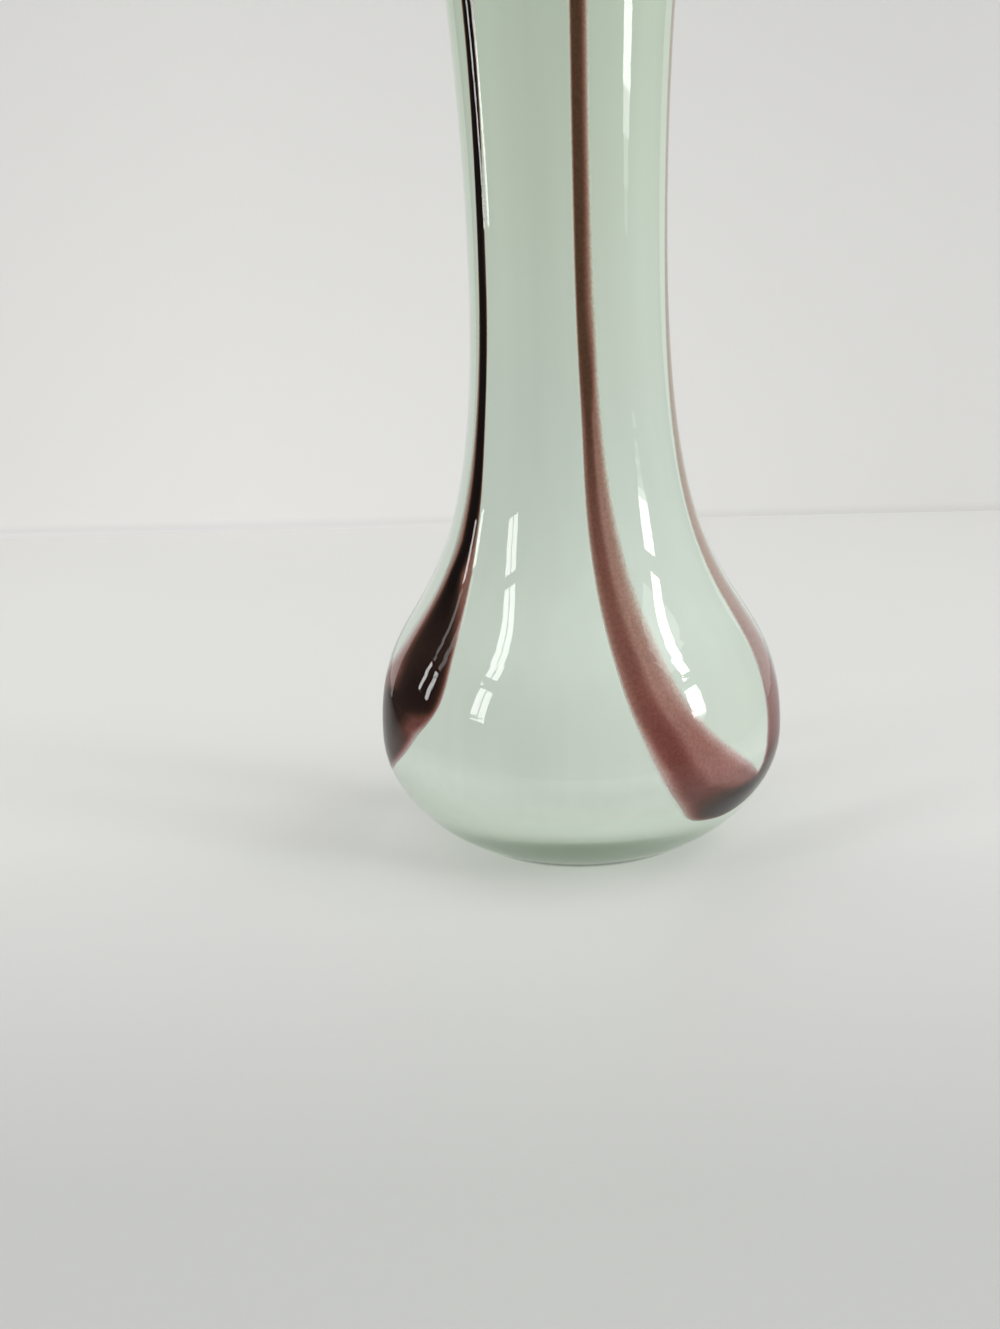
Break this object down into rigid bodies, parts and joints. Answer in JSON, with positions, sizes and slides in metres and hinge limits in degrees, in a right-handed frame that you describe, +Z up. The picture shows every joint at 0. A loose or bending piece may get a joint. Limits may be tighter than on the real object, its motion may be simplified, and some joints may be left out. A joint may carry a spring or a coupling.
{
  "type": "vase",
  "caption": "Jack-in-the-pulpit vase of cased blown glass: round bulb, slim neck, low turned-down lip and pointed hood, with amethyst threads looping between opal lining and clear casing.",
  "frame": {"origin": "centre of the foot, on the table", "axes": "+Z up the vase; -Y to the front, where the mouth's lip turns down; +Y to the hood behind; +X to the right seen from the front"},
  "size_m": [0.123, 0.1134, 0.3073],
  "materials": {
    "clear_glass": "fire-polished, clear with a faint green tint where it is thick",
    "opal_glass": "glossy opal, pale grey-green, slightly translucent",
    "amethyst_glass": "deep amethyst-brown, translucent, soft-edged"
  },
  "bodies": {
    "root": {"clear_casing": "clear_glass", "opal_lining": "opal_glass", "amethyst_loop_right": "amethyst_glass", "amethyst_loop_left": "amethyst_glass", "amethyst_tail": "amethyst_glass"}
  },
  "joints": []
}
